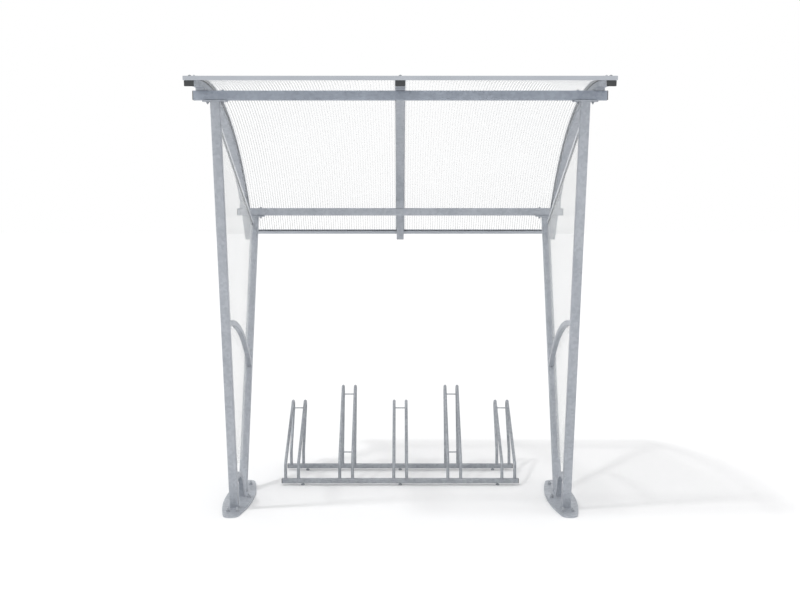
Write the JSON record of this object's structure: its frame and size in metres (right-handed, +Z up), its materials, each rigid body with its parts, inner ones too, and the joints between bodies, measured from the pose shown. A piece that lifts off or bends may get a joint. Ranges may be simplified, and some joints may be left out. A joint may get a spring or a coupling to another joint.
{
  "type": "bicycle shelter",
  "caption": "Open bicycle shelter with curved multiwall roof on V-shaped galvanised side frames, clear side panels, and a low wheel rack standing inside.",
  "frame": {"origin": "centre of the overall box at ground level, between the two foot plates", "axes": "+X to the right across the front, +Y from the open front to the back, +Z up"},
  "size_m": [2.222, 2.1622, 2.4968],
  "materials": {
    "galvanised_steel": "hot-dip galvanised, dull, faint spangle",
    "galvanised_rack": "hot-dip galvanised, a little darker",
    "aluminium": "mill-finish extruded profile, satin",
    "black_plastic": "moulded, matt",
    "black_rubber": "extruded sealing strip",
    "multiwall_sheet": "clear multiwall polycarbonate with flutes from front to back",
    "side_sheet": "clear multiwall polycarbonate with upright flutes"
  },
  "bodies": {
    "root": {"left_base_plate": "galvanised_steel", "right_base_plate": "galvanised_steel", "left_front_leg": "galvanised_steel", "right_front_leg": "galvanised_steel", "left_rear_leg": "galvanised_steel", "right_rear_leg": "galvanised_steel", "left_foot_brace": "galvanised_steel", "right_foot_brace": "galvanised_steel", "left_arc_brace": "galvanised_steel", "right_arc_brace": "galvanised_steel", "left_front_head_plate": "galvanised_steel", "right_front_head_plate": "galvanised_steel", "left_rear_head_plate": "galvanised_steel", "right_rear_head_plate": "galvanised_steel", "front_purlin": "galvanised_steel", "rear_purlin": "galvanised_steel", "purlin_end_caps": "black_plastic", "front_rib_saddles": "galvanised_steel", "rear_rib_saddles": "galvanised_steel", "left_rib": "galvanised_steel", "centre_rib": "galvanised_steel", "right_rib": "galvanised_steel", "rib_end_caps": "black_plastic", "rib_gaskets": "black_rubber", "left_roof_sheet": "multiwall_sheet", "right_roof_sheet": "multiwall_sheet", "front_edge_rail": "aluminium", "rear_edge_rail": "aluminium", "left_cover_strip": "aluminium", "centre_cover_strip": "aluminium", "right_cover_strip": "aluminium", "left_side_panel": "side_sheet", "right_side_panel": "side_sheet", "left_panel_trim": "aluminium", "right_panel_trim": "aluminium", "rack_front_rail": "galvanised_rack", "rack_rear_rail": "galvanised_rack", "rack_rail_caps": "black_plastic", "rack_feet": "galvanised_rack", "wheel_holder_1": "galvanised_rack", "wheel_holder_2": "galvanised_rack", "wheel_holder_3": "galvanised_rack", "wheel_holder_4": "galvanised_rack", "wheel_holder_5": "galvanised_rack"}
  },
  "joints": []
}
